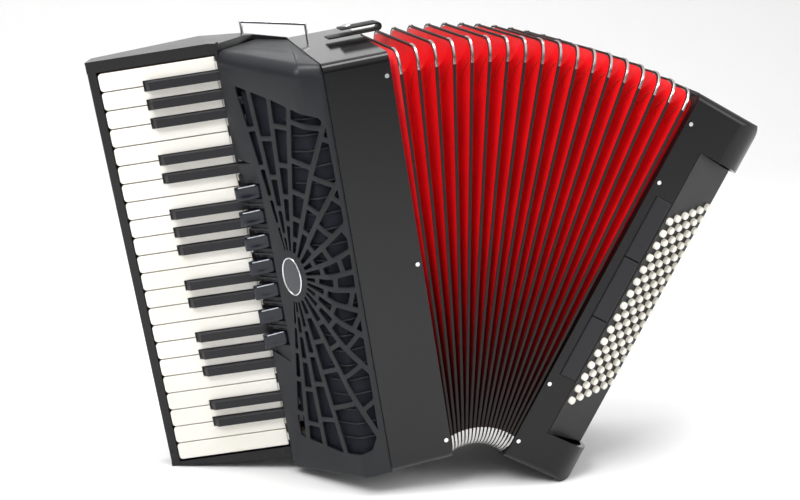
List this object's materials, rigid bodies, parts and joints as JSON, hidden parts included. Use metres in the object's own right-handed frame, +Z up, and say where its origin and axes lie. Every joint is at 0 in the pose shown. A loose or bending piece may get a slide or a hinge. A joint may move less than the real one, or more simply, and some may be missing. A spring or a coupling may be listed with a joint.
{
  "type": "piano accordion",
  "caption": "Piano accordion with its bellows fanned open: piano keyboard and register tabs on one side, bass button board and hand strap on the other.",
  "frame": {"origin": "centre of the outline on the surface that the instrument stands on", "axes": "+X from the keyboard towards the bass side, +Y towards the player, +Z up"},
  "size_m": [0.6785, 0.1864, 0.4737],
  "materials": {
    "case_lacquer": "deep black gloss",
    "cover_lacquer": "black, satin gloss",
    "bed_lacquer": "black, satin gloss",
    "grille_satin": "satin black",
    "steel": "drawn rod",
    "reed_wood": "spruce, unvarnished",
    "register_gloss": "blue-black gloss",
    "chrome": "polished",
    "frame_wood": "sanded",
    "bellows_cloth": "satin red pleats with black tape and metal corners",
    "strap_leather": "black, stitched",
    "board_satin": "satin black",
    "button_ivory": "ivory white, polished",
    "rubber": "matt",
    "key_white": "ivory white, polished",
    "key_black": "charcoal, satin"
  },
  "bodies": {
    "treble": {"treble_case": "case_lacquer", "keyboard_bed": "bed_lacquer", "grille": "grille_satin", "pivot_rods": "steel", "treble_reed_blocks": "reed_wood", "strap_brackets": "chrome", "treble_pins": "chrome", "treble_bellows_frame": "frame_wood", "bellows": "bellows_cloth", "bellows_straps": "strap_leather"},
    "register_switches": {"register_switches": "register_gloss"},
    "bass": {"bass_case": "case_lacquer", "bass_cover": "cover_lacquer", "button_board": "board_satin", "bass_reed_blocks": "reed_wood", "bass_bellows_frame": "frame_wood", "bass_pins": "chrome", "hand_strap": "strap_leather", "rubber_feet": "rubber"},
    "bass_buttons": {"bass_buttons": "button_ivory"},
    "bass_registers": {"bass_registers": "board_satin"},
    "air_button": {"air_button": "register_gloss"},
    "strap_wheel": {"strap_wheel": "board_satin"},
    "white_key_01": {"white_key_01": "key_white"},
    "white_key_02": {"white_key_02": "key_white"},
    "white_key_03": {"white_key_03": "key_white"},
    "white_key_04": {"white_key_04": "key_white"},
    "white_key_05": {"white_key_05": "key_white"},
    "white_key_06": {"white_key_06": "key_white"},
    "white_key_07": {"white_key_07": "key_white"},
    "white_key_08": {"white_key_08": "key_white"},
    "white_key_09": {"white_key_09": "key_white"},
    "white_key_10": {"white_key_10": "key_white"},
    "white_key_11": {"white_key_11": "key_white"},
    "white_key_12": {"white_key_12": "key_white"},
    "white_key_13": {"white_key_13": "key_white"},
    "white_key_14": {"white_key_14": "key_white"},
    "white_key_15": {"white_key_15": "key_white"},
    "white_key_16": {"white_key_16": "key_white"},
    "white_key_17": {"white_key_17": "key_white"},
    "white_key_18": {"white_key_18": "key_white"},
    "white_key_19": {"white_key_19": "key_white"},
    "white_key_20": {"white_key_20": "key_white"},
    "white_key_21": {"white_key_21": "key_white"},
    "white_key_22": {"white_key_22": "key_white"},
    "black_key_01": {"black_key_01": "key_black"},
    "black_key_02": {"black_key_02": "key_black"},
    "black_key_03": {"black_key_03": "key_black"},
    "black_key_04": {"black_key_04": "key_black"},
    "black_key_05": {"black_key_05": "key_black"},
    "black_key_06": {"black_key_06": "key_black"},
    "black_key_07": {"black_key_07": "key_black"},
    "black_key_08": {"black_key_08": "key_black"},
    "black_key_09": {"black_key_09": "key_black"},
    "black_key_10": {"black_key_10": "key_black"},
    "black_key_11": {"black_key_11": "key_black"},
    "black_key_12": {"black_key_12": "key_black"},
    "black_key_13": {"black_key_13": "key_black"},
    "black_key_14": {"black_key_14": "key_black"},
    "black_key_15": {"black_key_15": "key_black"}
  },
  "joints": [
    {"name": "bellows_fan", "type": "hinge", "parent": "treble", "child": "bass", "pos_m": [0.05473, 0.00075, 0.04471], "axis": [0, 1, 0], "range_deg": [-38, 14], "deforming": ["bellows"]},
    {"name": "white_key_01_press", "type": "hinge", "parent": "treble", "child": "white_key_01", "pos_m": [-0.10687, -0.00404, 0.01296], "axis": [0.1892, 0, -0.9819], "range_deg": [0, 2], "stiffness_Nm_per_rad": 2, "springref_deg": -1.72},
    {"name": "white_key_02_press", "type": "hinge", "parent": "treble", "child": "white_key_02", "pos_m": [-0.10687, -0.00404, 0.01296], "axis": [0.1892, 0, -0.9819], "range_deg": [0, 2], "stiffness_Nm_per_rad": 2, "springref_deg": -1.72},
    {"name": "white_key_03_press", "type": "hinge", "parent": "treble", "child": "white_key_03", "pos_m": [-0.10687, -0.00404, 0.01296], "axis": [0.1892, 0, -0.9819], "range_deg": [0, 2], "stiffness_Nm_per_rad": 2, "springref_deg": -1.72},
    {"name": "white_key_04_press", "type": "hinge", "parent": "treble", "child": "white_key_04", "pos_m": [-0.10687, -0.00404, 0.01296], "axis": [0.1892, 0, -0.9819], "range_deg": [0, 2], "stiffness_Nm_per_rad": 2, "springref_deg": -1.72},
    {"name": "white_key_05_press", "type": "hinge", "parent": "treble", "child": "white_key_05", "pos_m": [-0.10687, -0.00404, 0.01296], "axis": [0.1892, 0, -0.9819], "range_deg": [0, 2], "stiffness_Nm_per_rad": 2, "springref_deg": -1.72},
    {"name": "white_key_06_press", "type": "hinge", "parent": "treble", "child": "white_key_06", "pos_m": [-0.10687, -0.00404, 0.01296], "axis": [0.1892, 0, -0.9819], "range_deg": [0, 2], "stiffness_Nm_per_rad": 2, "springref_deg": -1.72},
    {"name": "white_key_07_press", "type": "hinge", "parent": "treble", "child": "white_key_07", "pos_m": [-0.10687, -0.00404, 0.01296], "axis": [0.1892, 0, -0.9819], "range_deg": [0, 2], "stiffness_Nm_per_rad": 2, "springref_deg": -1.72},
    {"name": "white_key_08_press", "type": "hinge", "parent": "treble", "child": "white_key_08", "pos_m": [-0.10687, -0.00404, 0.01296], "axis": [0.1892, 0, -0.9819], "range_deg": [0, 2], "stiffness_Nm_per_rad": 2, "springref_deg": -1.72},
    {"name": "white_key_09_press", "type": "hinge", "parent": "treble", "child": "white_key_09", "pos_m": [-0.10687, -0.00404, 0.01296], "axis": [0.1892, 0, -0.9819], "range_deg": [0, 2], "stiffness_Nm_per_rad": 2, "springref_deg": -1.72},
    {"name": "white_key_10_press", "type": "hinge", "parent": "treble", "child": "white_key_10", "pos_m": [-0.10687, -0.00404, 0.01296], "axis": [0.1892, 0, -0.9819], "range_deg": [0, 2], "stiffness_Nm_per_rad": 2, "springref_deg": -1.72},
    {"name": "white_key_11_press", "type": "hinge", "parent": "treble", "child": "white_key_11", "pos_m": [-0.10687, -0.00404, 0.01296], "axis": [0.1892, 0, -0.9819], "range_deg": [0, 2], "stiffness_Nm_per_rad": 2, "springref_deg": -1.72},
    {"name": "white_key_12_press", "type": "hinge", "parent": "treble", "child": "white_key_12", "pos_m": [-0.10687, -0.00404, 0.01296], "axis": [0.1892, 0, -0.9819], "range_deg": [0, 2], "stiffness_Nm_per_rad": 2, "springref_deg": -1.72},
    {"name": "white_key_13_press", "type": "hinge", "parent": "treble", "child": "white_key_13", "pos_m": [-0.10687, -0.00404, 0.01296], "axis": [0.1892, 0, -0.9819], "range_deg": [0, 2], "stiffness_Nm_per_rad": 2, "springref_deg": -1.72},
    {"name": "white_key_14_press", "type": "hinge", "parent": "treble", "child": "white_key_14", "pos_m": [-0.10687, -0.00404, 0.01296], "axis": [0.1892, 0, -0.9819], "range_deg": [0, 2], "stiffness_Nm_per_rad": 2, "springref_deg": -1.72},
    {"name": "white_key_15_press", "type": "hinge", "parent": "treble", "child": "white_key_15", "pos_m": [-0.10687, -0.00404, 0.01296], "axis": [0.1892, 0, -0.9819], "range_deg": [0, 2], "stiffness_Nm_per_rad": 2, "springref_deg": -1.72},
    {"name": "white_key_16_press", "type": "hinge", "parent": "treble", "child": "white_key_16", "pos_m": [-0.10687, -0.00404, 0.01296], "axis": [0.1892, 0, -0.9819], "range_deg": [0, 2], "stiffness_Nm_per_rad": 2, "springref_deg": -1.72},
    {"name": "white_key_17_press", "type": "hinge", "parent": "treble", "child": "white_key_17", "pos_m": [-0.10687, -0.00404, 0.01296], "axis": [0.1892, 0, -0.9819], "range_deg": [0, 2], "stiffness_Nm_per_rad": 2, "springref_deg": -1.72},
    {"name": "white_key_18_press", "type": "hinge", "parent": "treble", "child": "white_key_18", "pos_m": [-0.10687, -0.00404, 0.01296], "axis": [0.1892, 0, -0.9819], "range_deg": [0, 2], "stiffness_Nm_per_rad": 2, "springref_deg": -1.72},
    {"name": "white_key_19_press", "type": "hinge", "parent": "treble", "child": "white_key_19", "pos_m": [-0.10687, -0.00404, 0.01296], "axis": [0.1892, 0, -0.9819], "range_deg": [0, 2], "stiffness_Nm_per_rad": 2, "springref_deg": -1.72},
    {"name": "white_key_20_press", "type": "hinge", "parent": "treble", "child": "white_key_20", "pos_m": [-0.10687, -0.00404, 0.01296], "axis": [0.1892, 0, -0.9819], "range_deg": [0, 2], "stiffness_Nm_per_rad": 2, "springref_deg": -1.72},
    {"name": "white_key_21_press", "type": "hinge", "parent": "treble", "child": "white_key_21", "pos_m": [-0.10687, -0.00404, 0.01296], "axis": [0.1892, 0, -0.9819], "range_deg": [0, 2], "stiffness_Nm_per_rad": 2, "springref_deg": -1.72},
    {"name": "white_key_22_press", "type": "hinge", "parent": "treble", "child": "white_key_22", "pos_m": [-0.10687, -0.00404, 0.01296], "axis": [0.1892, 0, -0.9819], "range_deg": [0, 2], "stiffness_Nm_per_rad": 2, "springref_deg": -1.72},
    {"name": "black_key_01_press", "type": "hinge", "parent": "treble", "child": "black_key_01", "pos_m": [-0.10687, -0.00404, 0.01296], "axis": [0.1892, 0, -0.9819], "range_deg": [0, 2], "stiffness_Nm_per_rad": 2, "springref_deg": -1.72},
    {"name": "black_key_02_press", "type": "hinge", "parent": "treble", "child": "black_key_02", "pos_m": [-0.10687, -0.00404, 0.01296], "axis": [0.1892, 0, -0.9819], "range_deg": [0, 2], "stiffness_Nm_per_rad": 2, "springref_deg": -1.72},
    {"name": "black_key_03_press", "type": "hinge", "parent": "treble", "child": "black_key_03", "pos_m": [-0.10687, -0.00404, 0.01296], "axis": [0.1892, 0, -0.9819], "range_deg": [0, 2], "stiffness_Nm_per_rad": 2, "springref_deg": -1.72},
    {"name": "black_key_04_press", "type": "hinge", "parent": "treble", "child": "black_key_04", "pos_m": [-0.10687, -0.00404, 0.01296], "axis": [0.1892, 0, -0.9819], "range_deg": [0, 2], "stiffness_Nm_per_rad": 2, "springref_deg": -1.72},
    {"name": "black_key_05_press", "type": "hinge", "parent": "treble", "child": "black_key_05", "pos_m": [-0.10687, -0.00404, 0.01296], "axis": [0.1892, 0, -0.9819], "range_deg": [0, 2], "stiffness_Nm_per_rad": 2, "springref_deg": -1.72},
    {"name": "black_key_06_press", "type": "hinge", "parent": "treble", "child": "black_key_06", "pos_m": [-0.10687, -0.00404, 0.01296], "axis": [0.1892, 0, -0.9819], "range_deg": [0, 2], "stiffness_Nm_per_rad": 2, "springref_deg": -1.72},
    {"name": "black_key_07_press", "type": "hinge", "parent": "treble", "child": "black_key_07", "pos_m": [-0.10687, -0.00404, 0.01296], "axis": [0.1892, 0, -0.9819], "range_deg": [0, 2], "stiffness_Nm_per_rad": 2, "springref_deg": -1.72},
    {"name": "black_key_08_press", "type": "hinge", "parent": "treble", "child": "black_key_08", "pos_m": [-0.10687, -0.00404, 0.01296], "axis": [0.1892, 0, -0.9819], "range_deg": [0, 2], "stiffness_Nm_per_rad": 2, "springref_deg": -1.72},
    {"name": "black_key_09_press", "type": "hinge", "parent": "treble", "child": "black_key_09", "pos_m": [-0.10687, -0.00404, 0.01296], "axis": [0.1892, 0, -0.9819], "range_deg": [0, 2], "stiffness_Nm_per_rad": 2, "springref_deg": -1.72},
    {"name": "black_key_10_press", "type": "hinge", "parent": "treble", "child": "black_key_10", "pos_m": [-0.10687, -0.00404, 0.01296], "axis": [0.1892, 0, -0.9819], "range_deg": [0, 2], "stiffness_Nm_per_rad": 2, "springref_deg": -1.72},
    {"name": "black_key_11_press", "type": "hinge", "parent": "treble", "child": "black_key_11", "pos_m": [-0.10687, -0.00404, 0.01296], "axis": [0.1892, 0, -0.9819], "range_deg": [0, 2], "stiffness_Nm_per_rad": 2, "springref_deg": -1.72},
    {"name": "black_key_12_press", "type": "hinge", "parent": "treble", "child": "black_key_12", "pos_m": [-0.10687, -0.00404, 0.01296], "axis": [0.1892, 0, -0.9819], "range_deg": [0, 2], "stiffness_Nm_per_rad": 2, "springref_deg": -1.72},
    {"name": "black_key_13_press", "type": "hinge", "parent": "treble", "child": "black_key_13", "pos_m": [-0.10687, -0.00404, 0.01296], "axis": [0.1892, 0, -0.9819], "range_deg": [0, 2], "stiffness_Nm_per_rad": 2, "springref_deg": -1.72},
    {"name": "black_key_14_press", "type": "hinge", "parent": "treble", "child": "black_key_14", "pos_m": [-0.10687, -0.00404, 0.01296], "axis": [0.1892, 0, -0.9819], "range_deg": [0, 2], "stiffness_Nm_per_rad": 2, "springref_deg": -1.72},
    {"name": "black_key_15_press", "type": "hinge", "parent": "treble", "child": "black_key_15", "pos_m": [-0.10687, -0.00404, 0.01296], "axis": [0.1892, 0, -0.9819], "range_deg": [0, 2], "stiffness_Nm_per_rad": 2, "springref_deg": -1.72},
    {"name": "registers_press", "type": "hinge", "parent": "treble", "child": "register_switches", "pos_m": [-0.13823, -0.02175, 0.15662], "axis": [0.1892, 0, -0.9819], "range_deg": [0, 7], "stiffness_Nm_per_rad": 0.5, "springref_deg": -2.86},
    {"name": "bass_buttons_press", "type": "slide", "parent": "bass", "child": "bass_buttons", "axis": [-0.4909, 0.8342, 0.2511], "range_m": [0, 0.0035], "stiffness_N_per_m": 400, "springref_m": -0.003},
    {"name": "bass_registers_press", "type": "slide", "parent": "bass", "child": "bass_registers", "axis": [0, 1, 0], "range_m": [0, 0.0025], "stiffness_N_per_m": 400, "springref_m": -0.003},
    {"name": "air_button_press", "type": "slide", "parent": "bass", "child": "air_button", "axis": [-0.8903, 0, 0.4554], "range_m": [0, 0.004], "stiffness_N_per_m": 300, "springref_m": -0.003},
    {"name": "strap_wheel_turn", "type": "hinge", "parent": "bass", "child": "strap_wheel", "pos_m": [0.3007, 0.03225, 0.39446], "axis": [0.4554, 0, 0.8903], "continuous": true}
  ]
}
